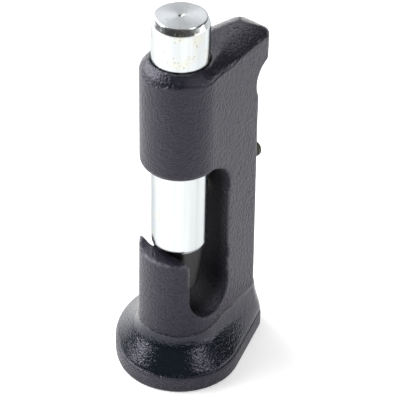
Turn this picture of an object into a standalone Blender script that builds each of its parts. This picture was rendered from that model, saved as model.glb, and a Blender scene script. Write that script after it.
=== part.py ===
"""Hammer-driven crimping tool for cable lugs.

A cast body stands on a flared foot.  A plated steel ram slides in its barrel, and the
punch on its lower end presses a lug into the round-bottomed cradle behind the cup's wall.
A spring plunger in the back of the column presses on a keyway in the ram, which keeps the
punch's flats square to the cup and holds the ram where it is left.

Metres, +Z up.  The origin is on the underside of the foot, on the ram's axis.
The cup faces -Y, the horn points to +Y, and the lug's barrel lies along X.
"""
import math

import bmesh
import bpy
from mathutils import Vector

# Ram
RAM_DIAMETER = 0.0254
RAM_STANDOUT = 0.0205
SHOULDER_GAP = 0.0032
RAM_RAISE = 0.0165
RAM_CLEARANCE = 0.0003
TOP_CHAMFER_WIDTH = 0.0014
TOP_CHAMFER_HEIGHT = 0.0035
END_CHAMFER = 0.0006
PUNCH_SHOULDER = 0.0007
PUNCH_TAPER = 0.0028
PUNCH_TIP_ROUND = 0.002
PUNCH_TIP_GAP = 0.0088
PUNCH_SIDE_CLEARANCE = 0.001

# Column, barrel and horn
BARREL_WALL = 0.00475
FOOT_DRAFT = 0.0007
COLUMN_BACK = 0.042
COLUMN_TAPER = math.radians(9.3)
COLUMN_CORNER = 0.004
BARREL_TOP = 0.1647
BARREL_HEIGHT = 0.0542
TOP_ROUND_HEIGHT = 0.0045
TOP_ROUND_WIDTH = 0.004
HORN_REACH = 0.008
HORN_CORNER = 0.005
HORN_HEIGHT = 0.018
SCOOP_RADIUS = 0.0092
SCOOP_DEPTH = 0.0038

# Cradle, cup and throat
CRADLE_FLOOR = 0.0315
CRADLE_WIDTH = 0.0255
CUP_RIM = 0.0655
THROAT_BACK = 0.0165
THROAT_CORNER = 0.013

# Foot
FOOT_FRONT = 0.0285
FOOT_RIGHT_RADIUS = 0.0293
FOOT_RIGHT_TAPER = math.radians(21)
FOOT_LEFT_RADIUS = 0.0425
FOOT_LEFT_START = math.radians(26)
FOOT_LEFT_TAPER = math.radians(30)
FOOT_BACK = 0.049
FOOT_CORNER = 0.008
FOOT_EDGE_HEIGHT = 0.0085
FOOT_FLARE_HEIGHT = 0.013
FOOT_EDGE_ROUND = 0.0008

# Spring plunger
PLUNGER_HEIGHT = 0.092
PLUNGER_DIAMETER = 0.008
PLUNGER_STANDOUT = 0.0118
PLUNGER_WALL = 0.001
PLUNGER_LIP = 0.002
PLUNGER_BACK_WALL = 0.010
NOSE_DIAMETER = 0.0044
NOSE_COLLAR_DIAMETER = 0.0054
NOSE_COLLAR_LENGTH = 0.0025
SPRING_WIRE = 0.0006
SPRING_TURNS = 9
KEYWAY_DEPTH = 0.0014
FIT_GAP = 0.0003

# Facets
AROUND = 64
HALF_FRONT_POINTS = 16
FOOT_START_POINTS = 6
SIDE_POINTS = 4
CORNER_POINTS = 5
SMOOTH_ANGLE = math.radians(32)

# Sizes that follow from the ones above
RAM_RADIUS = RAM_DIAMETER / 2
RAM_LIFT = CUP_RIM + SHOULDER_GAP
RAM_LENGTH = BARREL_TOP + RAM_STANDOUT - RAM_LIFT
RAM_DROP = SHOULDER_GAP - FIT_GAP
BORE_RADIUS = RAM_RADIUS + RAM_CLEARANCE
BARREL_RADIUS = BORE_RADIUS + BARREL_WALL
BARREL_BOTTOM = BARREL_TOP - BARREL_HEIGHT
CRADLE_RADIUS = CRADLE_WIDTH / 2
CRADLE_CENTRE_Y = THROAT_BACK - CRADLE_RADIUS
CRADLE_CENTRE_Z = CRADLE_FLOOR + CRADLE_RADIUS
CUP_FACE = CRADLE_CENTRE_Y - CRADLE_RADIUS
PUNCH_LENGTH = RAM_LIFT - RAM_DROP - PUNCH_TIP_GAP - CRADLE_FLOOR
PUNCH_HALF_THICKNESS = -CUP_FACE - PUNCH_SIDE_CLEARANCE
HORN_BOTTOM = BARREL_TOP - HORN_HEIGHT
FOOT_TOP = FOOT_EDGE_HEIGHT + FOOT_FLARE_HEIGHT
FAR = 3 * (FOOT_BACK + FOOT_FRONT)


def clear_scene():
    """Remove every object, so that the model starts from nothing."""
    for item in list(bpy.data.objects):
        bpy.data.objects.remove(item, do_unlink=True)


def material(name, colour, roughness, metallic):
    """Return a Principled material with one colour."""
    made = bpy.data.materials.new(name)
    made.use_nodes = True
    shader = made.node_tree.nodes["Principled BSDF"]
    shader.inputs["Base Color"].default_value = (*colour, 1.0)
    shader.inputs["Roughness"].default_value = roughness
    shader.inputs["Metallic"].default_value = metallic
    return made


def finish_object(name, mesh, finish=None):
    """Link a mesh as a named object with smooth round faces and sharp edges."""
    item = bpy.data.objects.new(name, mesh)
    bpy.context.scene.collection.objects.link(item)
    mesh.shade_smooth()
    mesh.set_sharp_from_angle(angle=SMOOTH_ANGLE)
    if finish:
        mesh.materials.append(finish)
    return item


def to_mesh(name, solid):
    """Turn a bmesh solid into a mesh whose faces point outwards."""
    bmesh.ops.recalc_face_normals(solid, faces=solid.faces)
    mesh = bpy.data.meshes.new(name)
    solid.to_mesh(mesh)
    solid.free()
    return mesh


def arc(centre, radius, start, stop, count):
    """Return count points on an arc, angles in radians, both ends included."""
    angles = [start + (stop - start) * step / (count - 1) for step in range(count)]
    return [(centre[0] + radius * math.cos(a), centre[1] + radius * math.sin(a)) for a in angles]


def half_outline(front, centre, radius, taper, back, corner):
    """Right half of a plan outline, from the front round to the middle of the back.

    The front points come first.  The side then touches the last front arc, of the given
    centre and radius, and leans in by the taper angle.  A corner circle touches both the
    side and the back.
    """
    corner_y = back - corner
    reach = centre[0] * math.cos(taper) + (centre[1] - corner_y) * math.sin(taper)
    corner_x = (reach + radius - corner) / math.cos(taper)
    turn = arc((corner_x, corner_y), corner, taper, math.pi / 2, CORNER_POINTS)
    start, stop = Vector(front[-1]), Vector(turn[0])
    sides = [start.lerp(stop, step / SIDE_POINTS)[:] for step in range(1, SIDE_POINTS)]
    return front + sides + turn


def closed_outline(right, left):
    """Outline from its right half and its mirrored left half, counter-clockwise."""
    return right + [(-x, y) for x, y in reversed(left[1:])]


def teardrop(radius, taper, back, corner):
    """Even outline: a round front on the ram's axis and tapered sides to a flat back."""
    front = arc((0, 0), radius, -math.pi / 2, taper, HALF_FRONT_POINTS)
    half = half_outline(front, (0, 0), radius, taper, back, corner)
    return closed_outline(half, half)


def foot_outline(inset):
    """Uneven outline of the foot: a wider arc takes over from the front arc on the left."""
    back = FOOT_BACK - inset
    corner = FOOT_CORNER - inset
    radius = FOOT_RIGHT_RADIUS - inset
    centre = (0, FOOT_RIGHT_RADIUS - FOOT_FRONT)
    front = arc(centre, radius, -math.pi / 2, FOOT_RIGHT_TAPER, HALF_FRONT_POINTS)
    right = half_outline(front, centre, radius, FOOT_RIGHT_TAPER, back, corner)
    start = FOOT_LEFT_START - math.pi / 2
    growth = FOOT_LEFT_RADIUS - FOOT_RIGHT_RADIUS
    wide_centre = (-growth * math.cos(start), centre[1] - growth * math.sin(start))
    wide_radius = FOOT_LEFT_RADIUS - inset
    front = arc(centre, radius, -math.pi / 2, start, FOOT_START_POINTS)
    wide_points = HALF_FRONT_POINTS - FOOT_START_POINTS + 1
    front += arc(wide_centre, wide_radius, start, FOOT_LEFT_TAPER, wide_points)[1:]
    left = half_outline(front, wide_centre, wide_radius, FOOT_LEFT_TAPER, back, corner)
    return closed_outline(right, left)


def loft(name, rings):
    """Join (height, outline) rings from the bottom up and close both ends."""
    solid = bmesh.new()
    loops = [[solid.verts.new((x, y, z)) for x, y in points] for z, points in rings]
    count = len(loops[0])
    for lower, upper in zip(loops, loops[1:]):
        for here in range(count):
            there = (here + 1) % count
            solid.faces.new((lower[here], lower[there], upper[there], upper[here]))
    solid.faces.new(reversed(loops[0]))
    solid.faces.new(loops[-1])
    return to_mesh(name, solid)


def prism(name, outline, place, depth):
    """Extrude a flat outline: place turns its (u, v) into a point, depth is a vector."""
    solid = bmesh.new()
    face = solid.faces.new([solid.verts.new(place(u, v)) for u, v in outline])
    made = bmesh.ops.extrude_face_region(solid, geom=[face])["geom"]
    moved = [item for item in made if isinstance(item, bmesh.types.BMVert)]
    bmesh.ops.translate(solid, verts=moved, vec=depth)
    return to_mesh(name, solid)


def turned(name, profile, axis="Z", steps=AROUND):
    """Spin a profile of (radius, distance along the axis) once round that axis."""
    solid = bmesh.new()
    upright = axis == "Z"
    points = [(r, 0, h) if upright else (r, h, 0) for r, h in profile]
    verts = [solid.verts.new(point) for point in points]
    edges = [solid.edges.new(pair) for pair in zip(verts, verts[1:])]
    line = (0, 0, 1) if upright else (0, 1, 0)
    bmesh.ops.spin(solid, geom=verts + edges, cent=(0, 0, 0), axis=line,
                   angle=2 * math.pi, steps=steps, use_merge=True)
    bmesh.ops.remove_doubles(solid, verts=solid.verts, dist=1e-6)
    return to_mesh(name, solid)


def cut(target, cutter):
    """Take the cutter's shape out of the target with a live Boolean."""
    cutter.hide_render = True
    cutter.display_type = "WIRE"
    hole = target.modifiers.new(cutter.name, "BOOLEAN")
    hole.operation = "DIFFERENCE"
    hole.solver = "EXACT"
    hole.object = cutter


def foot_rings():
    """Rings of the foot: a low upright edge, then a flare up to the column.

    The foot stands out further to the left of the column than to the right.
    """
    column = column_outline_at(FOOT_TOP)

    def ring(height, inset, share):
        """Blend from the foot's outline (share 0) to the column's (share 1)."""
        foot = foot_outline(inset)
        mixed = [Vector(a).lerp(Vector(b), share)[:] for a, b in zip(foot, column)]
        return height, mixed

    rings = [ring(0, FOOT_EDGE_ROUND, 0), ring(FOOT_EDGE_ROUND, 0, 0)]
    rings += [ring(FOOT_EDGE_HEIGHT - FOOT_EDGE_ROUND, 0, 0), ring(FOOT_EDGE_HEIGHT, FOOT_EDGE_ROUND, 0)]
    for share, climb in ((0.4, 0.40), (0.75, 0.74), (0.93, 0.90)):
        rings.append(ring(FOOT_EDGE_HEIGHT + climb * FOOT_FLARE_HEIGHT, FOOT_EDGE_ROUND, share))
    return rings


def back_at(height):
    """Distance of the back face behind the ram's axis at a height."""
    if height >= HORN_BOTTOM:
        return COLUMN_BACK + HORN_REACH
    rise = height - (HORN_BOTTOM - SCOOP_RADIUS)
    if rise <= -SCOOP_RADIUS:
        return COLUMN_BACK
    scoop_centre = COLUMN_BACK - SCOOP_DEPTH + SCOOP_RADIUS
    scooped = scoop_centre - math.sqrt(SCOOP_RADIUS ** 2 - rise ** 2)
    return min(scooped, COLUMN_BACK if rise < 0 else COLUMN_BACK + HORN_REACH)


def column_outline_at(height, inset=0.0):
    """Plan outline of the column, barrel and horn at a height."""
    draft = FOOT_DRAFT * max(0.0, 1 - (height - FOOT_TOP) / (BARREL_BOTTOM - FOOT_TOP))
    corner = HORN_CORNER if height >= HORN_BOTTOM else COLUMN_CORNER
    back = back_at(height) + draft - inset
    return teardrop(BARREL_RADIUS + draft - inset, COLUMN_TAPER, back, corner - inset / 2)


def column_rings():
    """Rings from the foot to the rounded top, with the scoop under the horn."""
    heights = [FOOT_TOP, BARREL_BOTTOM]
    scoop_bottom = HORN_BOTTOM - 2 * SCOOP_RADIUS
    for degrees in range(-80, 81, 20):
        heights.append(scoop_bottom + SCOOP_RADIUS * (1 + math.sin(math.radians(degrees))))
    heights += [HORN_BOTTOM, BARREL_TOP - TOP_ROUND_HEIGHT]
    rings = [(height, column_outline_at(height)) for height in heights]
    for degrees in (22.5, 45, 67.5, 90):
        angle = math.radians(degrees)
        height = BARREL_TOP - TOP_ROUND_HEIGHT * (1 - math.sin(angle))
        inset = TOP_ROUND_WIDTH * (1 - math.cos(angle))
        rings.append((height, column_outline_at(height, inset)))
    return rings


def throat_outline():
    """Side view (y, z) of the opening: cradle, cup mouth and the gap under the barrel."""
    front = -FAR
    inner = THROAT_BACK - THROAT_CORNER
    roof = arc((inner, BARREL_BOTTOM - THROAT_CORNER), THROAT_CORNER, math.pi / 2, 0, 9)
    floor = arc((CRADLE_CENTRE_Y, CRADLE_CENTRE_Z), CRADLE_RADIUS, 0, -math.pi, 25)
    lip = (CRADLE_CENTRE_Y - CRADLE_RADIUS, CUP_RIM)
    return [(front, BARREL_BOTTOM)] + roof + floor + [lip, (front, CUP_RIM)]


def make_body(finish):
    """The casting, with its bore, throat and plunger hole cut out."""
    body = finish_object("body_casting", loft("body_casting", foot_rings() + column_rings()), finish)
    throat = prism("throat_cut", throat_outline(), lambda y, z: (-FAR, y, z), (2 * FAR, 0, 0))
    cut(body, finish_object("throat_cut", throat))
    low = BARREL_BOTTOM - THROAT_CORNER
    high = BARREL_TOP + RAM_LENGTH
    bore = [(0, low), (BORE_RADIUS, low), (BORE_RADIUS, high), (0, high)]
    cut(body, finish_object("bore_cut", turned("bore_cut", bore)))
    hole_radius = PLUNGER_DIAMETER / 2 + FIT_GAP
    hole = [(0, 0), (hole_radius, 0), (hole_radius, FAR), (0, FAR)]
    hole_cut = finish_object("plunger_cut", turned("plunger_cut", hole, "Y", 32))
    hole_cut.location = (0, 0, PLUNGER_HEIGHT)
    cut(body, hole_cut)
    return body


def make_ram(finish):
    """The plated bar: chamfered struck end, flat-sided punch below, keyway at the back."""
    root = RAM_RADIUS - PUNCH_SHOULDER
    tip = root - PUNCH_TAPER
    round_end = [(tip - PUNCH_TIP_ROUND * (1 - math.sin(a)), -PUNCH_LENGTH + PUNCH_TIP_ROUND * (1 - math.cos(a)))
                 for a in (math.radians(step) for step in range(0, 91, 30))]
    profile = [(0, -PUNCH_LENGTH)] + round_end + [
        (root, 0),
        (RAM_RADIUS - END_CHAMFER, 0),
        (RAM_RADIUS, END_CHAMFER),
        (RAM_RADIUS, RAM_LENGTH - TOP_CHAMFER_HEIGHT),
        (RAM_RADIUS - TOP_CHAMFER_WIDTH, RAM_LENGTH),
        (0, RAM_LENGTH),
    ]
    ram = finish_object("ram", turned("ram", profile), finish)
    ram.location = (0, 0, RAM_LIFT)
    slot_radius = NOSE_DIAMETER / 2 + FIT_GAP
    low = PLUNGER_HEIGHT - RAM_RAISE
    high = PLUNGER_HEIGHT + RAM_DROP
    slot = arc((0, high), slot_radius, 0, math.pi, 9) + arc((0, low), slot_radius, math.pi, 2 * math.pi, 9)
    floor = RAM_RADIUS - KEYWAY_DEPTH
    keyway = prism("keyway_cut", slot, lambda x, z: (x, floor, z), (0, RAM_RADIUS, 0))
    cut(ram, finish_object("keyway_cut", keyway))
    low = RAM_LIFT - 2 * PUNCH_LENGTH
    for side in (-1, 1):
        near = side * PUNCH_HALF_THICKNESS
        far = side * RAM_DIAMETER
        outline = [(near, low), (far, low), (far, RAM_LIFT), (near, RAM_LIFT)]
        name = "front_flat_cut" if side < 0 else "back_flat_cut"
        flat = prism(name, outline, lambda y, z: (-RAM_DIAMETER, y, z), (2 * RAM_DIAMETER, 0, 0))
        cut(ram, finish_object(name, flat))
    return ram


def make_plunger_shell(finish):
    """The threaded shell, drawn as its outer cylinder: open at the nose, domed behind."""
    radius = PLUNGER_DIAMETER / 2
    front = THROAT_BACK + FIT_GAP
    end = COLUMN_BACK + PLUNGER_STANDOUT
    chamber = radius - PLUNGER_WALL
    mouth = NOSE_DIAMETER / 2 + FIT_GAP
    chamber_end = end - PLUNGER_BACK_WALL
    dome = [(radius * math.cos(a), end - radius / 2 + radius / 2 * math.sin(a))
            for a in (math.radians(step) for step in range(0, 91, 15))]
    profile = dome[::-1] + [(radius, front), (mouth, front), (mouth, front + PLUNGER_LIP)]
    profile += [(chamber, front + PLUNGER_LIP), (chamber, chamber_end), (0, chamber_end)]
    shell = finish_object("plunger_shell", turned("plunger_shell", profile, "Y", 32), finish)
    shell.location = (0, 0, PLUNGER_HEIGHT)
    return shell


def make_plunger_nose(finish):
    """The sprung nose: a round tip in the keyway and a collar behind the shell's lip."""
    radius = NOSE_DIAMETER / 2
    collar = NOSE_COLLAR_DIAMETER / 2
    tip = RAM_RADIUS - KEYWAY_DEPTH + FIT_GAP
    collar_front = THROAT_BACK + PLUNGER_LIP + 2 * FIT_GAP
    collar_back = collar_front + NOSE_COLLAR_LENGTH
    dome = [(radius * math.sin(a), radius - radius * math.cos(a))
            for a in (math.radians(step) for step in range(0, 91, 15))]
    profile = dome + [(radius, collar_front - tip), (collar, collar_front - tip)]
    profile += [(collar, collar_back - tip), (0, collar_back - tip)]
    nose = finish_object("plunger_nose", turned("plunger_nose", profile, "Y", 32), finish)
    nose.location = (0, tip, PLUNGER_HEIGHT)
    return nose


def make_plunger_spring(finish):
    """The coil spring between the nose's collar and the back of the shell's chamber."""
    wire = SPRING_WIRE / 2
    chamber = PLUNGER_DIAMETER / 2 - PLUNGER_WALL
    coil = chamber - FIT_GAP - wire
    start = THROAT_BACK + PLUNGER_LIP + 2 * FIT_GAP + NOSE_COLLAR_LENGTH + FIT_GAP + wire
    stop = COLUMN_BACK + PLUNGER_STANDOUT - PLUNGER_BACK_WALL - FIT_GAP - wire
    curve = bpy.data.curves.new("plunger_spring", "CURVE")
    curve.dimensions = "3D"
    curve.bevel_depth = wire
    curve.bevel_resolution = 1
    curve.use_fill_caps = True
    spline = curve.splines.new("POLY")
    steps = 12 * SPRING_TURNS
    spline.points.add(steps)
    for step, point in enumerate(spline.points):
        angle = 2 * math.pi * SPRING_TURNS * step / steps
        along = start + (stop - start) * step / steps
        point.co = (coil * math.cos(angle), along, coil * math.sin(angle), 1)
    curve.materials.append(finish)
    spring = bpy.data.objects.new("plunger_spring", curve)
    spring.location = (0, 0, PLUNGER_HEIGHT)
    bpy.context.scene.collection.objects.link(spring)
    return spring


def main():
    """Build every piece of the tool."""
    clear_scene()
    make_body(material("black_paint", (0.030, 0.028, 0.038), 0.42, 0.0))
    make_ram(material("bright_zinc", (0.80, 0.80, 0.78), 0.20, 1.0))
    make_plunger_shell(material("black_oxide", (0.07, 0.07, 0.06), 0.45, 0.8))
    make_plunger_nose(material("hardened_steel", (0.45, 0.45, 0.44), 0.30, 1.0))
    make_plunger_spring(material("spring_steel", (0.35, 0.35, 0.36), 0.35, 1.0))


main()
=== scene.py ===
# %% [markdown]
# # A hammer-struck crimping tool for cable lugs
# The tool has three things to look at: a black painted iron casting, a bright plated ram
# that slides in it, and a small threaded plunger in its back.  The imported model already
# says where each piece is and how it moves.  Each cell below makes one finer piece or one
# finish, and hangs it on that model.

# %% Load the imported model
import math

import bpy
import numpy as np
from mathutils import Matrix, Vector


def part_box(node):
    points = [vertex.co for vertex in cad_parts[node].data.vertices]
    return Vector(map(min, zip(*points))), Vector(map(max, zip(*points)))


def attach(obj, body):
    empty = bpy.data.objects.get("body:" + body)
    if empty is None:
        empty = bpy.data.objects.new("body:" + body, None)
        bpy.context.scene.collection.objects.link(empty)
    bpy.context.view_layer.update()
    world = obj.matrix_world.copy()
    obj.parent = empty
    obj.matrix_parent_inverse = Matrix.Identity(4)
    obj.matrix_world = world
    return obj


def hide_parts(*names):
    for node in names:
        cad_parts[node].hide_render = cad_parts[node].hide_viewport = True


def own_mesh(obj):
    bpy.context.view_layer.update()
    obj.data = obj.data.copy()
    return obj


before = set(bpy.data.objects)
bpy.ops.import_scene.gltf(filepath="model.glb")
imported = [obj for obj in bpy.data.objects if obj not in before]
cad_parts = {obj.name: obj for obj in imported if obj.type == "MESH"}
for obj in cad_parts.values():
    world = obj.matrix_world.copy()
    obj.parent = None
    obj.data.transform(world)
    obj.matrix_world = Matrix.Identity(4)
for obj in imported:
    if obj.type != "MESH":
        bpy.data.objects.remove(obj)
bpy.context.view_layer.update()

# %% [markdown]
# ## Sizes
# Everything is in metres.  Sizes that the model's boxes can tell are read from it, and the
# others are the casting's own drawing sizes: how far its walls stand from the ram's axis,
# how its edges are broken, and where its openings lie.

# %% Sizes read from the model
body_low, body_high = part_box("body_casting")
ram_low, ram_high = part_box("ram")
shell_low, shell_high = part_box("plunger_shell")
nose_low, nose_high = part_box("plunger_nose")
spring_low, spring_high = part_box("plunger_spring")

RAM_RADIUS = (ram_high[0] - ram_low[0]) / 2
RAM_TOP = ram_high[2]
PUNCH_TIP = ram_low[2]
SHELL_HEIGHT = (shell_low[2] + shell_high[2]) / 2
BODY_TOP = body_high[2]
print("ram radius %.4f, ram top %.4f, punch tip %.4f" % (RAM_RADIUS, RAM_TOP, PUNCH_TIP))

# %% Drawing sizes of the casting
BORE_RADIUS = RAM_RADIUS + 0.0003
BORE_MOUTH = 0.0008
BARREL_RADIUS = 0.01775
BARREL_BOTTOM = 0.1105
COLUMN_BACK = 0.042
COLUMN_TAPER = math.radians(9.3)
COLUMN_CORNER = 0.004
COLUMN_DRAFT = 0.0007
HORN_BACK = 0.050
HORN_CORNER = 0.005
HORN_BOTTOM = 0.1467
SCOOP_RADIUS = 0.0092
SCOOP_DEPTH = 0.0038
SCOOP_EDGE = 0.0012
CROWN = 0.0045
CROWN_POWER = 1.4
CROWN_REACH = 0.0050
CROWN_REACH_GAIN = 0.0050
CROWN_WIDENS = (0.006, 0.026)
CROWN_EDGE = 0.0009
CRADLE_RADIUS = 0.01275
CRADLE_Y = 0.00375
CRADLE_Z = 0.04425
CUP_RIM = 0.0655
CUP_LIP = 0.0022
CUP_LIP_SIDE = (0.0085, 0.0150)
CUP_RIM_CORNER = 0.0008
THROAT_BACK = 0.0165
THROAT_CORNER = 0.013
THROAT_EDGE = 0.0012
THROAT_TOP_GAIN = 0.0030
THROAT_TOP_HEIGHT = (0.100, 0.108)
THROAT_TOP_FRONT = (-0.012, -0.002)
PLUNGER_HOLE_RADIUS = 0.0043
MACHINED_EDGE = 0.0007
FOOT_TOP = 0.0215
FOOT_EDGE = 0.0085
FOOT_FRONT = 0.0285
FOOT_BACK = 0.049
FOOT_CORNER = 0.008
FOOT_RIGHT_RADIUS = 0.0293
FOOT_RIGHT_TAPER = math.radians(21)
FOOT_LEFT_RADIUS = 0.0425
FOOT_LEFT_START = math.radians(26)
FOOT_LEFT_TAPER = math.radians(30)
FOOT_RIM_ROUND = 0.0012
FOOT_FILLET = 0.0026
FLARE_LEAST_RUN = 0.004
WAVE_HEIGHT = 0.00003
print("barrel %.1f mm across" % (2000 * BARREL_RADIUS))
print("foot %.1f mm from front to back" % (1000 * (FOOT_FRONT + FOOT_BACK)))

# %% [markdown]
# ## The casting as a distance field
# A casting has no sharp inner corner: every wall flows into the next through a fillet, and
# fillets of many sizes meet where the horn, barrel, cup and foot join.  A grid of two
# parameters can't follow such meetings, and bevelled solids break where they cross.  So the
# shape is written as one function of x, y and z that is negative in the iron and positive
# in the air.  Two shapes join or cut by taking the smaller or larger function, and a
# rounded form of those gives the fillet.  The skin is where the function is zero.

# %% Rounded joins and cuts
def round_max(a, b, radius):
    """Larger of two distances, its crease rounded: where both are within the radius of the
    skin, the length of (a + radius, b + radius) replaces the larger of the two."""
    corner = np.hypot(np.maximum(a + radius, 0), np.maximum(b + radius, 0))
    return np.minimum(np.maximum(a, b), -radius) + corner


def round_min(a, b, radius):
    """Smaller of two distances with a fillet: the mirror image of the rounded larger one."""
    return -round_max(-a, -b, radius)


def ramp(value, start, stop):
    """0 below start and 1 above stop, along 3t^2 - 2t^3 between them."""
    t = np.clip((value - start) / (stop - start), 0, 1)
    return t * t * (3 - 2 * t)


# %% Plan outlines
def tapered_side(x, y, radius, taper):
    """Distance in plan from a round front whose sides lean in: sqrt(x^2 + y^2) - radius
    round the front, then |x| cos(taper) + y sin(taper) - radius along the straight side."""
    side = np.abs(x)
    past = y * math.cos(taper) > side * math.sin(taper)
    straight = side * math.cos(taper) + y * math.sin(taper)
    return np.where(past, straight, np.hypot(x, y)) - radius


def foot_side(x, y):
    """Distance in plan from the foot's uneven edge: the front arc, its tapered right side,
    and on the left a wider arc that starts where both arcs share a tangent."""
    centre_y = FOOT_RIGHT_RADIUS - FOOT_FRONT
    right = tapered_side(x, y - centre_y, FOOT_RIGHT_RADIUS, FOOT_RIGHT_TAPER)
    start = FOOT_LEFT_START - math.pi / 2
    growth = FOOT_LEFT_RADIUS - FOOT_RIGHT_RADIUS
    wide_x = -growth * math.cos(start)
    wide_y = centre_y - growth * math.sin(start)
    u = -x - wide_x
    v = y - wide_y
    past = v * math.cos(FOOT_LEFT_TAPER) > u * math.sin(FOOT_LEFT_TAPER)
    straight = u * math.cos(FOOT_LEFT_TAPER) + v * math.sin(FOOT_LEFT_TAPER)
    wide = np.where(past, straight, np.hypot(u, v)) - FOOT_LEFT_RADIUS
    front = -x * math.sin(start) - (y - centre_y) * math.cos(start) > 0
    narrow = np.hypot(x, y - centre_y) - FOOT_RIGHT_RADIUS
    return np.where(x > 0, right, np.where(front, narrow, wide))


# %% The cast shape before machining
def cast_shape(x, y, z):
    """Signed distance of the rough casting: column, horn and barrel less the scoop, with a
    crowned top, standing on the flared foot.  The crown falls by CROWN * left ** power,
    where left is 1 at the top's outline and 0 once reach inside it."""
    draft = COLUMN_DRAFT * np.clip((BARREL_BOTTOM - z) / (BARREL_BOTTOM - FOOT_TOP), 0, 1)
    side = tapered_side(x, y, BARREL_RADIUS, COLUMN_TAPER) - draft
    column = round_max(side, y - COLUMN_BACK - draft, COLUMN_CORNER)
    horn = round_max(side, y - HORN_BACK, HORN_CORNER)
    scoop_y = COLUMN_BACK - SCOOP_DEPTH + SCOOP_RADIUS
    scoop_z = HORN_BOTTOM - SCOOP_RADIUS
    column = np.minimum(column, np.maximum(horn, scoop_z - z))
    scoop = np.hypot(np.minimum(y - scoop_y, 0), z - scoop_z) - SCOOP_RADIUS
    column = round_max(column, -scoop, SCOOP_EDGE)
    inside = np.clip(-horn, 0, None)
    reach = CROWN_REACH + CROWN_REACH_GAIN * ramp(y, *CROWN_WIDENS)
    left = 1 - np.clip(inside / reach, 0, 1)
    slope = CROWN_POWER * CROWN / reach * left ** (CROWN_POWER - 1)
    crown = z - (BODY_TOP - CROWN * left ** CROWN_POWER)
    column = round_max(column, crown / np.hypot(1, slope), CROWN_EDGE)

    edge = round_max(foot_side(x, y), y - FOOT_BACK, FOOT_CORNER)
    run = np.maximum(side - edge, FLARE_LEAST_RUN)
    share = np.clip(-edge / run, 0, 1)
    rise = FOOT_TOP - FOOT_EDGE
    flare = (z - FOOT_EDGE - rise * share) / np.hypot(1, rise / run)
    foot = round_max(edge, flare, FOOT_RIM_ROUND)
    return round_min(column, foot, FOOT_FILLET)


def waviness(x, y, z):
    """A slight unevenness of the cast skin: five sine waves of 5 to 11 mm in odd directions."""
    waves = ((430, 210, 380, 0.3), (-310, 520, 240, 1.7), (260, -450, 610, 4.1))
    waves += ((700, 640, -520, 2.2), (-820, 390, 700, 5.2))
    return sum(np.sin(a * x + b * y + c * z + d) for a, b, c, d in waves) / len(waves)


# %% Machining and the finished field
def throat(x, y, z):
    """The opening seen from the side: a channel with a round floor, joined to the cup's
    mouth, and closed above by the barrel's underside with a large corner at the back.
    The cup's rim rises a little to its left tip, clear of the ram."""
    channel = np.hypot(y - CRADLE_Y, np.minimum(z - CRADLE_Z, 0)) - CRADLE_RADIUS
    rim = CUP_RIM + CUP_LIP * ramp(-x, *CUP_LIP_SIDE)
    opening = round_min(channel, rim - z, CUP_RIM_CORNER)
    return np.maximum(opening, round_max(y - THROAT_BACK, z - BARREL_BOTTOM, THROAT_CORNER))


def casting(x, y, z):
    """The whole body: the rough casting less its throat, bore and plunger hole, cut flat
    underneath.  The throat's edge is broken more under the front of the barrel."""
    shape = cast_shape(x, y, z) + WAVE_HEIGHT * waviness(x, y, z)
    under_barrel = ramp(z, *THROAT_TOP_HEIGHT) * ramp(-y, *THROAT_TOP_FRONT)
    shape = round_max(shape, -throat(x, y, z), THROAT_EDGE + THROAT_TOP_GAIN * under_barrel)
    bore_end = BARREL_BOTTOM - THROAT_CORNER - z
    bore = round_max(np.hypot(x, y) - BORE_RADIUS, bore_end, BORE_MOUTH)
    shape = round_max(shape, -bore, MACHINED_EDGE)
    hole = np.maximum(np.hypot(x, z - SHELL_HEIGHT) - PLUNGER_HOLE_RADIUS, -y)
    shape = round_max(shape, -hole, MACHINED_EDGE)
    return round_max(shape, -z, MACHINED_EDGE)


# %% [markdown]
# ## From a field to a mesh
# The field is sampled on a fine grid of points.  Where it changes sign inside a cell, the
# skin passes through that cell, and the cell gets one vertex.  Every grid edge that crosses
# the skin is shared by four cells, and their four vertices make one face.  Each vertex then
# slides down the field's slope until it lies on the skin.

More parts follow.
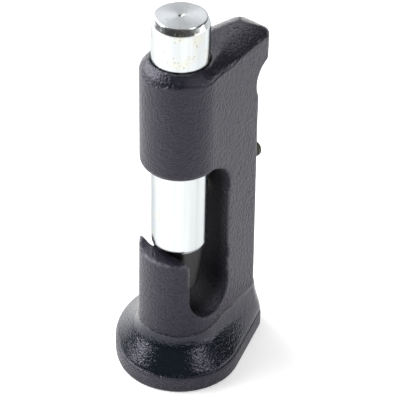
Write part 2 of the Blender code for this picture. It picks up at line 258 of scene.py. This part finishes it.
# %% Skin of a field
def skin(field, low, high, step):
    """Vertices and faces where field(x, y, z) is zero.  A vertex starts at the mean of its
    cell's edge crossings, then moves by -f * gradient / |gradient|^2, three times."""
    axes = [np.arange(a - 2 * step, b + 3 * step, step) for a, b in zip(low, high)]
    f = field(axes[0][:, None, None], axes[1][None, :, None], axes[2][None, None, :])
    shape = tuple(n - 1 for n in f.shape)
    total = np.zeros(shape + (3,), np.float32)
    count = np.zeros(shape, np.uint8)
    for axis in range(3):
        a = np.moveaxis(f, axis, 0)[:-1]
        b = np.moveaxis(f, axis, 0)[1:]
        crosses = (a < 0) != (b < 0)
        along = np.where(crosses, a / np.where(a == b, 1, a - b), 0)
        crosses = np.moveaxis(crosses, 0, axis)
        along = np.moveaxis(along, 0, axis)
        for first in (0, 1):
            for second in (0, 1):
                offset = [first, second]
                offset.insert(axis, 0)
                cells = tuple(slice(o, o + n) for o, n in zip(offset, shape))
                hit = crosses[cells]
                count += hit
                for other in range(3):
                    if other == axis:
                        total[..., other] += along[cells]
                    elif offset[other]:
                        total[..., other] += hit
    used = np.argwhere(count > 0)
    number = np.full(shape, -1, np.int32)
    number[tuple(used.T)] = np.arange(len(used))
    points = used + total[count > 0] / count[count > 0][:, None]
    points = points * step + np.array([axis[0] for axis in axes])
    faces = []
    for axis in range(3):
        a = np.moveaxis(f, axis, 0)[:-1, 1:-1, 1:-1]
        b = np.moveaxis(f, axis, 0)[1:, 1:-1, 1:-1]
        cell = np.moveaxis(number, axis, 0)
        around = [cell[:, :-1, :-1], cell[:, 1:, :-1], cell[:, 1:, 1:], cell[:, :-1, 1:]]
        for hit, turn in (((a < 0) & (b >= 0), axis != 1), ((a >= 0) & (b < 0), axis == 1)):
            quad = np.stack([corner[hit] for corner in around], 1)
            faces.append(quad if turn else quad[:, ::-1])
    for _ in range(3):
        value, slope = field_slope(field, points)
        points = points - (value / np.sum(slope ** 2, 1))[:, None] * slope
    return points, np.concatenate(faces)


def field_slope(field, points, reach=0.00005):
    """Field value and gradient at points, by differences over twice the reach."""
    slope = np.empty_like(points)
    for axis in range(3):
        shift = np.zeros(3)
        shift[axis] = reach
        slope[:, axis] = field(*(points + shift).T) - field(*(points - shift).T)
    return field(*points.T), slope / (2 * reach)


# %% A mesh object from arrays
def new_piece(name, points, faces, sharp=None):
    """Put whole arrays of points and faces into a named mesh object."""
    mesh = bpy.data.meshes.new(name)
    mesh.from_pydata(points.tolist(), [], faces.tolist() if hasattr(faces, "tolist") else faces)
    mesh.validate()
    mesh.shade_smooth()
    if sharp:
        mesh.set_sharp_from_angle(angle=math.radians(sharp))
    item = bpy.data.objects.new(name, mesh)
    bpy.context.scene.collection.objects.link(item)
    triangles = sum(len(p.vertices) - 2 for p in mesh.polygons)
    print(name, len(mesh.vertices), "vertices", triangles, "triangles")
    return item


def add_attribute(item, name, values):
    """Store one number per vertex, for a finish to read."""
    layer = item.data.attributes.new(name, "FLOAT", "POINT")
    layer.data.foreach_set("value", np.asarray(values, np.float32))


# %% The casting's mesh
CELL = 0.00072
points, faces = skin(casting, body_low, body_high, CELL)
body = new_piece("casting", points, faces)

# %% [markdown]
# Paint wears first on the edges that stand out, and the field knows where they are: summed
# over six points around a spot on the skin it is about 0 on a flat wall, positive on an
# outer edge and negative in a corner.  The inside of the cup and the cradle is marked too,
# because little light gets there, and the paint is darkened there as painted shade.

# %% Where the paint wears, and where little light gets in for a painted shade
PAINTED_SHADE_DEPTH = (-0.0006, -0.00005)
PAINTED_SHADE_SIDE = (-0.0165, -0.009)
PAINTED_SHADE_FRONT = (-0.0105, -0.0085)


def edge_share(points, reach=0.0012):
    """Sum of the field at six points around each vertex, over the reach: about how far the
    skin curves away, 0 on a flat wall, positive on an outer edge."""
    total = 0
    for axis in range(3):
        for sign in (-1, 1):
            shift = np.zeros(3)
            shift[axis] = sign * reach
            total = total + casting(*(points + shift).T)
    return total / reach


curving = edge_share(points)
add_attribute(body, "edge", np.clip(curving, 0, 1))
x, y, z = points.T
# Painted shade: a mask over the inside of the cup and the cradle, which the paint darkens.
shelter = ramp(-throat(x, y, z), *PAINTED_SHADE_DEPTH) * ramp(-np.abs(x), *PAINTED_SHADE_SIDE)
add_attribute(body, "shelter", shelter * ramp(y, *PAINTED_SHADE_FRONT))
print("edge share: lowest, middle, highest", np.percentile(curving, (0, 50, 100)).round(2))

# %% [markdown]
# ## Turned pieces
# The ram and the plunger are lathe work: a profile of radius and distance along the axis,
# carried once round.  The two ends close on a single point.


# %% Lathe
def lathe(name, radius, along, around, shape=None, sharp=None):
    """Carry a profile round the Z axis: x = r cos(a), y = r sin(a), z = along.  The first
    and last profile points lie on the axis and become single closing points.  shape may
    change the (x, y, z) arrays before they become a mesh."""
    angle = np.arange(around) * 2 * math.pi / around
    r = np.asarray(radius)[1:-1, None]
    z = np.broadcast_to(np.asarray(along)[1:-1, None], (len(r), around))
    x, y = r * np.cos(angle), r * np.sin(angle)
    if shape:
        x, y, z = shape(x, y, z)
    rings = np.stack([x, y, z], 2).reshape(-1, 3)
    ends = np.array([[0, 0, along[0]], [0, 0, along[-1]]])
    row = np.arange(len(r) - 1)[:, None] * around
    here = np.arange(around)
    there = (here + 1) % around
    quads = np.stack([row + here, row + there, row + around + there, row + around + here], 2)
    last = (len(r) - 1) * around
    first_pole, last_pole = len(rings), len(rings) + 1
    faces = quads.reshape(-1, 4).tolist()
    faces += np.stack([there, here, np.full(around, first_pole)], 1).tolist()
    faces += np.stack([last + here, last + there, np.full(around, last_pole)], 1).tolist()
    return new_piece(name, np.vstack([rings, ends]), faces, sharp)


def fine(profile, step):
    """Profile points with more set between them, no further apart than the step."""
    radius, along = [profile[0][0]], [profile[0][1]]
    for (r0, s0), (r1, s1) in zip(profile, profile[1:]):
        pieces = max(1, math.ceil(math.hypot(r1 - r0, s1 - s0) / step))
        share = np.arange(1, pieces + 1) / pieces
        radius += list(r0 + (r1 - r0) * share)
        along += list(s0 + (s1 - s0) * share)
    return np.array(radius), np.array(along)


def softened(radius, along, reach, turns):
    """Average each profile point with its neighbours a few times, ends held, which breaks
    the profile's corners as a file does."""
    for _ in range(turns):
        radius[1:-1] += reach * (radius[2:] + radius[:-2] - 2 * radius[1:-1])
        along[1:-1] += reach * (along[2:] + along[:-2] - 2 * along[1:-1])
    return radius, along


# %% The ram's profile
SHOULDER = 0.0687
SHOULDER_CHAMFER = 0.0006
PUNCH_ROOT = RAM_RADIUS - 0.0007
PUNCH_END = PUNCH_ROOT - 0.0028
PUNCH_NECK = 0.0003
TIP_ROUND = 0.002
TOP_CHAMFER_HEIGHT = 0.0035
TOP_CHAMFER_WIDTH = 0.0014
CENTRE_RADIUS = 0.0011
CENTRE_TIP_RADIUS = 0.0004
CENTRE_CONE = 0.0009
CENTRE_DEPTH = 0.0011
RAM_STEP = 0.0004
quarter = np.radians(np.arange(0, 91, 15))
tip = [(PUNCH_END - TIP_ROUND * (1 - math.sin(a)), PUNCH_TIP + TIP_ROUND * (1 - math.cos(a)))
       for a in quarter]
ram_profile = [(0, PUNCH_TIP)] + tip
ram_profile += [(PUNCH_ROOT, SHOULDER - PUNCH_NECK), (PUNCH_ROOT, SHOULDER)]
ram_profile += [(RAM_RADIUS - SHOULDER_CHAMFER, SHOULDER), (RAM_RADIUS, SHOULDER + SHOULDER_CHAMFER)]
ram_profile += [(RAM_RADIUS, RAM_TOP - TOP_CHAMFER_HEIGHT), (RAM_RADIUS - TOP_CHAMFER_WIDTH, RAM_TOP)]
ram_profile += [(CENTRE_RADIUS, RAM_TOP), (CENTRE_TIP_RADIUS, RAM_TOP - CENTRE_CONE)]
ram_profile += [(0, RAM_TOP - CENTRE_DEPTH)]
radius, along = softened(*fine(ram_profile, RAM_STEP), reach=0.24, turns=2)
radius = np.clip(radius, 0, RAM_RADIUS)
print("ram profile", len(radius), "points")

# %% The ram, its punch flats and keyway
FLATS_END = SHOULDER - 0.0001
PUNCH_HALF_THICKNESS = 0.008
KEYWAY_LOW = SHELL_HEIGHT - 0.0165
KEYWAY_HIGH = SHELL_HEIGHT + 0.0029
KEYWAY_HALF_WIDTH = 0.0025
KEYWAY_WALL = 0.0003
KEYWAY_FLOOR = RAM_RADIUS - 0.0014


def ram_cuts(x, y, z):
    """Mill the turned bar: below the shoulder y is held within the punch's half thickness,
    and inside the keyway's round-ended slot y is held to the slot's floor."""
    flat = np.clip(y, -PUNCH_HALF_THICKNESS, PUNCH_HALF_THICKNESS)
    y = np.where(z < FLATS_END, flat, y)
    end = np.clip(z, KEYWAY_LOW, KEYWAY_HIGH) - z
    depth = ramp(np.hypot(x, end), KEYWAY_HALF_WIDTH, KEYWAY_HALF_WIDTH - KEYWAY_WALL)
    floor = np.minimum(y, KEYWAY_FLOOR)
    return x, np.where(y > 0, y + (floor - y) * depth, y), z


ram = lathe("ram_bar", radius, along, around=224, shape=ram_cuts, sharp=40)

# %% The plunger's threaded shell
THREAD_PITCH = 0.00125
THREAD_DEPTH = 0.0006
THREAD_SKIN = 0.0002
THREAD_FADE = (0.0022, 0.0034)
SHELL_RADIUS = (shell_high[0] - shell_low[0]) / 2
SHELL_STEP = 0.00016
NOSE_RADIUS = 0.0022
NOSE_HOLE_RADIUS = NOSE_RADIUS + 0.0003
CHAMBER_RADIUS = SHELL_RADIUS - 0.001
CHAMBER_START = shell_low[1] + 0.002
CHAMBER_END = shell_high[1] - 0.010


def thread(x, y, z):
    """Roll a thread into the turned shell: the radius falls by the depth times a rounded
    triangle wave of z / pitch - angle / 2 pi, fading out at the domed end."""
    turns = (z / THREAD_PITCH - np.arctan2(y, x) / (2 * math.pi)) % 1
    valley = ramp(1 - np.abs(2 * turns - 1), 0.10, 0.80)
    on = (np.hypot(x, y) > SHELL_RADIUS - THREAD_SKIN) * ramp(shell_high[1] - z, *THREAD_FADE)
    scale = 1 - THREAD_DEPTH * valley * on / SHELL_RADIUS
    return x * scale, y * scale, z


def lay_along_y(item, height):
    """Turn a lathe piece to lie along Y at a height: (x, y, z) becomes (-x, z, y + height)."""
    co = np.empty(len(item.data.vertices) * 3)
    item.data.vertices.foreach_get("co", co)
    x, y, z = co.reshape(-1, 3).T
    item.data.vertices.foreach_set("co", np.stack([-x, z, y + height], 1).ravel())
    item.data.update()


dome = [(SHELL_RADIUS * math.cos(a), shell_high[1] - SHELL_RADIUS / 2 * (1 - math.sin(a)))
        for a in quarter[:-1]]
shell_profile = [(0, CHAMBER_END), (CHAMBER_RADIUS, CHAMBER_END), (CHAMBER_RADIUS, CHAMBER_START)]
shell_profile += [(NOSE_HOLE_RADIUS, CHAMBER_START), (NOSE_HOLE_RADIUS, shell_low[1])]
shell_profile += [(SHELL_RADIUS, shell_low[1])] + dome + [(0, shell_high[1])]
radius, along = fine(shell_profile, SHELL_STEP)
shell = lathe("plunger_stud", radius, along, around=72, shape=thread, sharp=50)
lay_along_y(shell, SHELL_HEIGHT)

# %% The plunger's nose
NOSE_STEP = 0.00025
COLLAR_RADIUS = (nose_high[0] - nose_low[0]) / 2
COLLAR_FRONT = nose_high[1] - 0.0025
nose_profile = [(NOSE_RADIUS * math.sin(a), nose_low[1] + NOSE_RADIUS * (1 - math.cos(a)))
                for a in quarter]
nose_profile += [(NOSE_RADIUS, COLLAR_FRONT), (COLLAR_RADIUS, COLLAR_FRONT)]
nose_profile += [(COLLAR_RADIUS, nose_high[1]), (0, nose_high[1])]
radius, along = softened(*fine(nose_profile, NOSE_STEP), reach=0.2, turns=2)
nose = lathe("plunger_tip", radius, along, around=64, sharp=40)
lay_along_y(nose, SHELL_HEIGHT)

# %% [markdown]
# ## The spring
# A coil spring is a round wire carried along a helix.  At each step the wire's circle is
# set in the plane of the outward direction and the direction across the coil.  Its back end
# sits in the shell, so it shortens towards that end as the nose slides in.

# %% The coil spring
SPRING_TURNS = 9
WIRE_RADIUS = 0.0003
COIL_RADIUS = (spring_high[0] - spring_low[0]) / 2 - WIRE_RADIUS


def coil(steps=360, around=12):
    """Tube along a helix: centre (R cos t, start + run, R sin t), wire circle spread along
    the outward direction and the binormal, both worked out for every step at once."""
    share = np.linspace(0, 1, steps)
    t = share * 2 * math.pi * SPRING_TURNS
    start, stop = spring_low[1] + WIRE_RADIUS, spring_high[1] - WIRE_RADIUS
    out = np.stack([np.cos(t), 0 * t, np.sin(t)], 1)
    centre = COIL_RADIUS * out
    centre[:, 1] = start + (stop - start) * share
    centre[:, 2] += SHELL_HEIGHT
    climb = (stop - start) / (2 * math.pi * SPRING_TURNS)
    way = np.stack([-COIL_RADIUS * np.sin(t), climb + 0 * t, COIL_RADIUS * np.cos(t)], 1)
    way /= np.linalg.norm(way, axis=1)[:, None]
    across = np.cross(way, out)
    a = np.arange(around) * 2 * math.pi / around
    ring = np.cos(a)[None, :, None] * out[:, None] + np.sin(a)[None, :, None] * across[:, None]
    rings = (centre[:, None] + WIRE_RADIUS * ring).reshape(-1, 3)
    row = np.arange(steps - 1)[:, None] * around
    here = np.arange(around)
    there = (here + 1) % around
    quads = np.stack([row + here, row + around + here, row + around + there, row + there], 2)
    ends = [here.tolist(), ((steps - 1) * around + here[::-1]).tolist()]
    return rings, quads.reshape(-1, 4).tolist() + ends


spring = new_piece("coil_spring", *coil(), sharp=50)

# %% Check that every skin faces outwards
def volume(item):
    """Volume inside a closed mesh from the sum of its triangles' signed volumes."""
    item.data.calc_loop_triangles()
    co = np.empty(len(item.data.vertices) * 3)
    item.data.vertices.foreach_get("co", co)
    tri = np.empty(len(item.data.loop_triangles) * 3, np.int32)
    item.data.loop_triangles.foreach_get("vertices", tri)
    a, b, c = np.moveaxis(co.reshape(-1, 3)[tri.reshape(-1, 3)], 1, 0)
    return float(np.einsum("ij,ij->i", a, np.cross(b, c)).sum() / 6)


for item in (body, ram, shell, nose, spring):
    if volume(item) < 0:
        item.data.flip_normals()
        print("turned", item.name, "the right way out")
    print(item.name, "volume in cubic mm: %.0f" % (volume(item) * 1e9))

# %% Hang each piece on its body
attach(body, "body")
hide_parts("body_casting")
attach(ram, "ram")
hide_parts("ram")
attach(shell, "body")
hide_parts("plunger_shell")
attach(nose, "plunger_nose")
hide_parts("plunger_nose")
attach(spring, "body")
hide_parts("plunger_spring")
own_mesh(spring)

# %% [markdown]
# ## Writing finishes
# A finish is a small program that Blender runs at every point of a surface.  Its sums are
# written here as ordinary Python expressions, and each operator adds the node that does it.


# %% A socket that can be added and multiplied
class Wire:
    """One number or colour on its way through a node tree."""

    def __init__(self, tree, socket):
        self.tree = tree
        self.socket = socket

    def math(self, operation, first, second):
        return self.tree.node("ShaderNodeMath", {"operation": operation}, {0: first, 1: second})

    def __add__(self, other):
        return self.math("ADD", self, other)

    def __sub__(self, other):
        return self.math("SUBTRACT", self, other)

    def __rsub__(self, other):
        return self.math("SUBTRACT", other, self)

    def __mul__(self, other):
        return self.math("MULTIPLY", self, other)

    __radd__ = __add__
    __rmul__ = __mul__


class Tree:
    """A node tree under construction, for a finish or for the sky."""

    def __init__(self, nodes, links):
        self.nodes = nodes
        self.links = links

    def node(self, kind, settings, inputs, output=0):
        """Add a node: its settings first, then values or wires into its sockets.  The
        setting "stops" spreads positions and greys over a colour ramp."""
        made = self.nodes.new(kind)
        for key, value in settings.items():
            if key == "stops":
                elements = made.color_ramp.elements
                while len(elements) < len(value):
                    elements.new(0.5)
                for stop, (position, shade) in zip(elements, value):
                    stop.position = position
                    stop.color = (shade, shade, shade, 1)
            else:
                setattr(made, key, value)
        for key, value in inputs.items():
            self.set(made.inputs[key], value)
        return Wire(self, made.outputs[output])

    def set(self, socket, value):
        """Link a wire into a socket, or write a plain value on it."""
        if isinstance(value, Wire):
            self.links.new(value.socket, socket)
        else:
            socket.default_value = value


class Finish(Tree):
    """One material under construction, with its Principled shader ready."""

    def __init__(self, name, **fixed):
        self.material = bpy.data.materials.new(name)
        self.material.use_nodes = True
        super().__init__(self.material.node_tree.nodes, self.material.node_tree.links)
        self.shader = self.nodes["Principled BSDF"]
        for socket, value in fixed.items():
            self.shader.inputs[socket.replace("_", " ")].default_value = value
        self.place = self.node("ShaderNodeTexCoord", {}, {}, "Object")

    def coordinate(self, axis):
        """The place's x, y or z in metres, for axis 0, 1 or 2."""
        return self.node("ShaderNodeSeparateXYZ", {}, {0: self.place}, axis)

    def noise(self, scale, detail=3.0, roughness=0.55, stretch=(1, 1, 1)):
        """Cloudy pattern, about 1 / scale metres from patch to patch."""
        place = self.node("ShaderNodeMapping", {}, {"Vector": self.place, "Scale": stretch})
        inputs = {"Vector": place, "Scale": scale, "Detail": detail, "Roughness": roughness}
        return self.node("ShaderNodeTexNoise", {}, inputs)

    def step(self, value, off, on):
        """0 at off and past it, 1 at on and past it, smooth between.  Either may be larger."""
        settings = {"interpolation_type": "SMOOTHSTEP"}
        return self.node("ShaderNodeMapRange", settings, {0: value, 1: off, 2: on})

    def mix(self, share, first, second):
        """First colour at share 0, second colour at share 1."""
        inputs = {0: share, 6: first, 7: second}
        return self.node("ShaderNodeMix", {"data_type": "RGBA"}, inputs, 2)

    def bump(self, height, distance):
        """Small relief that only the light sees, distance in metres."""
        return self.node("ShaderNodeBump", {}, {"Height": height, "Distance": distance})

    def attribute(self, name):
        """A number stored on the piece's own vertices."""
        return self.node("ShaderNodeAttribute", {"attribute_name": name}, {}, "Fac")

    def dull(self, share, colour, roughness):
        """Mix in a nearly unreflecting shader where share is 1: painted shade in a dim recess."""
        inputs = {"Base Color": colour, "Roughness": roughness, "Specular IOR Level": 0.08}
        flat = self.node("ShaderNodeBsdfPrincipled", {}, inputs)
        shown = Wire(self, self.shader.outputs[0])
        both = self.node("ShaderNodeMixShader", {}, {0: share, 1: shown, 2: flat})
        self.set(self.nodes["Material Output"].inputs[0], both)

    def wear_on(self, item, **looks):
        """Feed the shader's varying sockets and give the finish to a piece."""
        for socket, wire in looks.items():
            self.set(self.shader.inputs[socket.replace("_", " ")], wire)
        item.data.materials.clear()
        item.data.materials.append(self.material)
        print(item.name, "wears", self.material.name)


# %% [markdown]
# ### Black casting paint
# The paint is thin and nearly black.  On the column and barrel the rough sand skin shows
# through it as a fine orange peel.  On the foot's slope it has run smooth and glossy, and it
# is smoother on the crowned top and the cup's rim too.  It is rubbed grey along the proudest
# edges, and has a few small pits.  Inside the cup and the cradle it is darkened further,
# as painted shade.

# %% Casting paint
POOL_HEIGHT = (0.0265, 0.0240)
FOOT_SIDE_TOP = (0.0078, 0.0088)
CROWN_HEIGHT = (0.1588, 0.1602)
RIM_START = (0.0645, 0.0655)
RIM_STOP = (0.0685, 0.0695)
RIM_FRONT = (0.0, -0.004)
CLOUD_SHIFT = 0.005
PAINT_RELIEF = 0.0013
PAINT_DARK = (0.0070, 0.0058, 0.0115, 1)
PAINT_LIGHT = (0.0135, 0.0112, 0.0195, 1)
PAINT_POOLED = (0.0030, 0.0062, 0.0095, 1)
PAINT_CROWN = (0.0050, 0.0072, 0.0110, 1)
RUBBED_GREY = (0.15, 0.15, 0.16, 1)
PIT_BLACK = (0.0020, 0.0020, 0.0025, 1)
PAINTED_SHADE_BLACK = (0.0030, 0.0028, 0.0040, 1)

paint = Finish("black_casting_paint", IOR=1.5, Specular_Tint=(0.86, 0.82, 1.0, 1))
height = paint.coordinate(2)
grit = paint.noise(1250, 2.0)
peel = paint.noise(620, 2.0)
cloud = paint.noise(90, 4.0)
uneven = height + CLOUD_SHIFT * (cloud - 0.5)
pool = paint.step(uneven, *POOL_HEIGHT) * paint.step(height, *FOOT_SIDE_TOP)
top = paint.step(uneven, *CROWN_HEIGHT)
edge = paint.attribute("edge")
pit = paint.step(paint.noise(330, 1.0), 0.715, 0.76) * paint.step(cloud, 0.50, 0.58)
rubbed = paint.step(edge + 0.6 * (peel - 0.5), 0.40, 0.70) * paint.step(cloud, 0.42, 0.60)
rim = paint.step(height, *RIM_START) * (1 - paint.step(height, *RIM_STOP))
rim = rim * paint.step(paint.coordinate(1), *RIM_FRONT)
rough_skin = (1 - pool) * (1 - 0.75 * top) * (1 - 0.7 * rim)
colour = paint.mix(cloud, PAINT_DARK, PAINT_LIGHT)
colour = paint.mix(pool, colour, PAINT_POOLED)
colour = paint.mix(top * 0.6, colour, PAINT_CROWN)
colour = paint.mix(rubbed * 0.55, colour, RUBBED_GREY)
colour = paint.mix(pit * 0.8, colour, PIT_BLACK)
gloss = 0.11 + 0.28 * rough_skin + 0.14 * (peel - 0.5) + 0.12 * rubbed + 0.10 * pit
skin_relief = (grit * 0.7 + peel * 0.7 - 0.9 * pit) * (0.16 + 0.84 * rough_skin)
relief = paint.bump(skin_relief, PAINT_RELIEF)
paint.wear_on(body, Base_Color=colour, Roughness=gloss, Normal=relief)
# Painted shade: a dark, dull shader darkens the inside of the cup and the cradle.
paint.dull(paint.attribute("shelter") * 0.85, PAINTED_SHADE_BLACK, 0.55)

# %% [markdown]
# ### Bright zinc plate
# The ram is turned bar with a thin bright plate.  Faint streaks run along it, with a
# yellowish cast in patches and small dark specks round them.  The struck face keeps the
# rings of its facing cut, and the punch below the shoulder is near-black as painted shade,
# for the dark cup it reaches down into.

# %% Zinc plate
PUNCH_HEIGHT = (float(SHOULDER) - 0.0002, float(SHOULDER) - 0.0008)
FACE_HEIGHT = (float(RAM_TOP) - 0.0004, float(RAM_TOP) - 0.0001)
FACING_RINGS = 9000
ZINC_RELIEF = 0.00012
ZINC_DARK = (0.50, 0.525, 0.535, 1)
ZINC_LIGHT = (0.66, 0.685, 0.69, 1)
ZINC_YELLOW = (0.61, 0.60, 0.50, 1)
ZINC_FACED = (0.44, 0.455, 0.475, 1)
SPECK_BROWN = (0.20, 0.19, 0.16, 1)
PUNCH_PAINTED_SHADE = (0.060, 0.058, 0.058, 1)

zinc = Finish("bright_zinc_plate", Metallic=1.0, Specular_Tint=(0.52, 0.54, 0.56, 1))
streak = zinc.noise(170, 3.0, 0.5, (1, 1, 0.04))
patch = zinc.noise(90, 3.0)
speck = zinc.step(zinc.noise(1000, 2.0), 0.60, 0.70) * zinc.step(patch, 0.53, 0.62)
across = zinc.node("ShaderNodeVectorMath", {"operation": "MULTIPLY"}, {0: zinc.place, 1: (1, 1, 0)})
from_axis = zinc.node("ShaderNodeVectorMath", {"operation": "LENGTH"}, {0: across}, 1)
rings = zinc.node("ShaderNodeMath", {"operation": "SINE"}, {0: from_axis * FACING_RINGS})
height = zinc.coordinate(2)
below = zinc.step(height, *PUNCH_HEIGHT)
faced = zinc.step(height, *FACE_HEIGHT)
colour = zinc.mix(zinc.step(streak, 0.30, 0.70), ZINC_DARK, ZINC_LIGHT)
colour = zinc.mix(zinc.step(patch, 0.50, 0.66) * 0.55, colour, ZINC_YELLOW)
colour = zinc.mix(faced * 0.8, colour, ZINC_FACED)
colour = zinc.mix(speck * 0.75, colour, SPECK_BROWN)
# Painted shade: the punch below the shoulder is coloured near-black for the dark cup it reaches into.
colour = zinc.mix(below, colour, PUNCH_PAINTED_SHADE)
gloss = 0.10 + 0.20 * streak + 0.25 * speck + 0.14 * faced + 0.18 * below
relief = zinc.bump(streak * 0.6 + patch * 0.6 + rings * faced * 0.25, ZINC_RELIEF)
zinc.wear_on(ram, Base_Color=colour, Roughness=gloss, Normal=relief)

# %% [markdown]
# ### The plunger's finishes
# The stud is blackened steel with a fine grain.  Its nose is hardened and ground, and the
# spring is drawn wire.

# %% Black oxide, hardened steel and spring wire
OXIDE_DARK = (0.045, 0.045, 0.036, 1)
OXIDE_LIGHT = (0.115, 0.112, 0.092, 1)
GROUND_DARK = (0.40, 0.40, 0.39, 1)
GROUND_LIGHT = (0.52, 0.52, 0.51, 1)
WIRE_DARK = (0.28, 0.28, 0.29, 1)
WIRE_LIGHT = (0.42, 0.42, 0.43, 1)
OXIDE_RELIEF = 0.00003
STEEL_RELIEF = 0.00002

oxide = Finish("black_oxide_steel", Metallic=0.85)
tone = oxide.noise(600, 3.0)
colour = oxide.mix(tone, OXIDE_DARK, OXIDE_LIGHT)
relief = oxide.bump(oxide.noise(2400, 2.0), OXIDE_RELIEF)
oxide.wear_on(shell, Base_Color=colour, Roughness=0.34 + 0.16 * tone, Normal=relief)

ground = Finish("ground_steel", Metallic=1.0)
tone = ground.noise(1500, 3.0)
colour = ground.mix(tone, GROUND_DARK, GROUND_LIGHT)
relief = ground.bump(tone, STEEL_RELIEF)
ground.wear_on(nose, Base_Color=colour, Roughness=0.20 + 0.12 * tone, Normal=relief)

drawn = Finish("drawn_spring_wire", Metallic=1.0)
tone = drawn.noise(2000, 3.0)
colour = drawn.mix(tone, WIRE_DARK, WIRE_LIGHT)
relief = drawn.bump(tone, STEEL_RELIEF)
drawn.wear_on(spring, Base_Color=colour, Roughness=0.28 + 0.15 * tone, Normal=relief)

# %% [markdown]
# ## Floor, light and camera
# The tool stands on a sheet of white paper that runs far past it, so the metal has a clean
# white ground to mirror.  A wide soft box on the left draws the highlights on the foot, and
# smaller ones light the other sides.  The dim band round the horizon darkens the ram's bevel.

# %% White floor
FLOOR_HALF = 3.0
FLOOR_DROP = 0.0002
PAPER_DARK = (0.86, 0.86, 0.86, 1)
PAPER_LIGHT = (0.90, 0.90, 0.90, 1)

lines = np.linspace(-FLOOR_HALF, FLOOR_HALF, 9)
gx, gy = np.meshgrid(lines, lines, indexing="ij")
floor_points = np.stack([gx.ravel(), gy.ravel(), np.full(gx.size, -FLOOR_DROP)], 1)
cell = np.arange(gx.size).reshape(gx.shape)
floor_faces = np.stack([cell[:-1, :-1], cell[1:, :-1], cell[1:, 1:], cell[:-1, 1:]], 2)
floor = new_piece("paper_floor", floor_points, floor_faces.reshape(-1, 4))
paper = Finish("white_paper", Roughness=0.9, Emission_Color=(1, 1, 1, 1), Emission_Strength=0.42)
paper.wear_on(floor, Base_Color=paper.mix(paper.noise(3, 2.0), PAPER_DARK, PAPER_LIGHT))


# %% Lights
LAMP_AIM_HEIGHT = 0.09


def stand_off(item, azimuth, elevation, distance, height):
    """Put an item out in a direction given in degrees, from a height on the ram's axis, and
    turn it to look back: (sin a cos e, -cos a cos e, sin e) * distance + (0, 0, height)."""
    a, e = math.radians(azimuth), math.radians(elevation)
    out = np.array([math.sin(a) * math.cos(e), -math.cos(a) * math.cos(e), math.sin(e)])
    item.location = out * distance + np.array([0, 0, height])
    item.rotation_euler = (math.pi / 2 - e, 0, a)


def soft_box(name, azimuth, elevation, distance, width, height, power):
    """A rectangular lamp that looks at the tool from a direction given in degrees."""
    lamp = bpy.data.lights.new(name, "AREA")
    lamp.shape = "RECTANGLE"
    lamp.size, lamp.size_y = width, height
    lamp.energy = power
    item = bpy.data.objects.new(name, lamp)
    bpy.context.scene.collection.objects.link(item)
    stand_off(item, azimuth, elevation, distance, LAMP_AIM_HEIGHT)
    print(name, "%.2f by %.2f m, %g W" % (width, height, power))


soft_box("window_left", -68, 34, 1.5, 2.0, 1.05, 47)
soft_box("window_right", 94, 38, 1.5, 0.5, 0.5, 5)
soft_box("sky_top", 200, 84, 1.6, 1.1, 1.1, 3)
soft_box("sky_back", 222, 38, 1.8, 1.8, 1.1, 11)
soft_box("wall_right", 118, 3, 1.8, 1.6, 0.18, 5)

# %% [markdown]
# The surrounding light is dim at the horizon and brighter overhead.  It is a ramp over the
# height of each direction.  Looked at directly, the surroundings are plain white.

# %% Surrounding light
SKY_STOPS = [(0.0, 0.06), (0.22, 0.05), (0.45, 0.20), (1.0, 0.30)]
SKY_STRENGTH = 0.9
world = bpy.data.worlds.new("studio")
world.use_nodes = True
bpy.context.scene.world = world
sky = Tree(world.node_tree.nodes, world.node_tree.links)
way = sky.node("ShaderNodeTexCoord", {}, {}, "Generated")
upward = sky.node("ShaderNodeSeparateXYZ", {}, {0: way}, 2)
band = sky.node("ShaderNodeValToRGB", {"stops": SKY_STOPS}, {0: upward})
glow = sky.nodes["Background"]
sky.set(glow.inputs[0], band)
sky.set(glow.inputs[1], SKY_STRENGTH)
plain = sky.node("ShaderNodeBackground", {}, {0: (1, 1, 1, 1)})
direct = sky.node("ShaderNodeLightPath", {}, {}, "Is Camera Ray")
both = sky.node("ShaderNodeMixShader", {}, {0: direct, 1: Wire(sky, glow.outputs[0]), 2: plain})
sky.set(sky.nodes["World Output"].inputs[0], both)
bpy.context.scene.view_settings.view_transform = "Standard"
print("surrounding light", SKY_STOPS)

# %% Camera
CAMERA_AZIMUTH = 42
CAMERA_ELEVATION = 36.14
CAMERA_DISTANCE = 0.825
CAMERA_AIM_HEIGHT = 0.089
CAMERA_ROLL = math.radians(-0.53)
CAMERA_LENS = 165.7
CAMERA_SENSOR = 36
CAMERA_SHIFT_X = 0.052
CAMERA_SHIFT_Y = 0.003
lens = bpy.data.cameras.new("camera")
lens.lens = CAMERA_LENS
lens.sensor_width = CAMERA_SENSOR
lens.shift_x = CAMERA_SHIFT_X
lens.shift_y = CAMERA_SHIFT_Y
camera = bpy.data.objects.new("camera", lens)
bpy.context.scene.collection.objects.link(camera)
camera.rotation_mode = "XYZ"
stand_off(camera, CAMERA_AZIMUTH, CAMERA_ELEVATION, CAMERA_DISTANCE, CAMERA_AIM_HEIGHT)
camera.rotation_euler.rotate_axis("Z", -CAMERA_ROLL)
bpy.context.scene.camera = camera
print("camera at", [round(float(v), 4) for v in camera.location])
